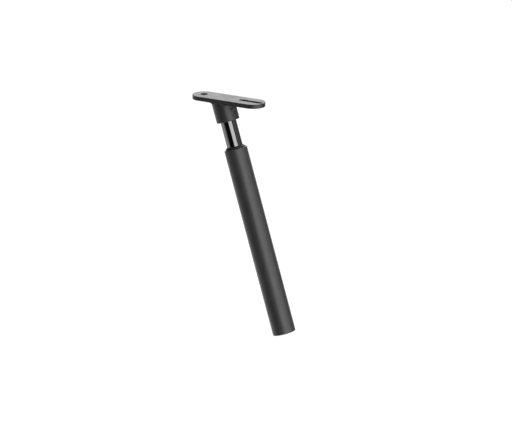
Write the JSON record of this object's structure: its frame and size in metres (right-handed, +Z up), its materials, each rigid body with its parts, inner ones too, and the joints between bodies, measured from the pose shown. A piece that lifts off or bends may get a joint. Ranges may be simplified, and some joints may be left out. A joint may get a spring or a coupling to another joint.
{
  "type": "suspension seatpost",
  "caption": "Telescoping suspension seatpost: a satin tube holds a sprung black-chrome shaft, whose collar carries a tilted stadium-shaped saddle plate with a round hole and a slot.",
  "frame": {"origin": "centre of the outer tube's lower end, on the post's axis", "axes": "+Z up along the post's axis, +X forward towards the slotted end of the saddle plate, +Y to the rider's left"},
  "size_m": [0.093, 0.028, 0.2971],
  "materials": {
    "satin_black_tube": "satin black coat on aluminium tube",
    "satin_black_collar": "satin black coat on the turned steel collar",
    "satin_plate": "satin black coat on flat steel bar",
    "black_anodised_cap": "black anodised, turned",
    "black_chrome": "polished dark chrome on steel tube",
    "black_rubber": "matt nitrile rubber",
    "white_nylon": "natural acetal",
    "yellow_elastomer": "cellular polyurethane",
    "spring_steel": "oiled spring wire",
    "blackened_spring_steel": "black oxide",
    "plain_aluminium": "turned, bare",
    "brass": "bare"
  },
  "bodies": {
    "post": {"outer_tube": "satin_black_tube", "gland_cap": "black_anodised_cap", "gland_cap_o_ring": "black_rubber", "wiper_seal": "black_rubber", "upper_bushing": "white_nylon", "tube_retaining_ring": "blackened_spring_steel", "main_spring": "spring_steel"},
    "stanchion": {"inner_shaft": "black_chrome", "head_collar": "satin_black_collar", "collar_grub_screw": "blackened_spring_steel", "seat_plate": "satin_plate", "plate_weld": "satin_plate", "piston": "plain_aluminium", "piston_wear_ring": "white_nylon", "anti_rotation_keys": "brass", "top_out_bumper": "black_rubber", "shaft_retaining_ring": "blackened_spring_steel", "spring_top_cup": "white_nylon"},
    "preload_seat": {"spring_seat": "white_nylon", "elastomer_core": "yellow_elastomer", "thrust_washer": "brass"},
    "preload_screw": {"preload_plug": "plain_aluminium", "plug_o_ring": "black_rubber"}
  },
  "joints": [
    {"name": "suspension_slide", "type": "slide", "parent": "post", "child": "stanchion", "axis": [0, 0, 1], "range_m": [-0.029, 0], "stiffness_N_per_m": 20000, "springref_m": 0.012, "deforming": ["main_spring"]},
    {"name": "preload_slide", "type": "slide", "parent": "post", "child": "preload_seat", "axis": [0, 0, 1], "range_m": [0, 0.008], "deforming": ["main_spring"]},
    {"name": "preload_turn", "type": "hinge", "parent": "preload_seat", "child": "preload_screw", "pos_m": [0, 0, 0.0115], "axis": [0, 0, 1], "range_deg": [0, 1920]}
  ],
  "couplings": [
    {"joint": "preload_slide", "follows": "preload_turn", "m_per_rad": 0.00023873}
  ]
}
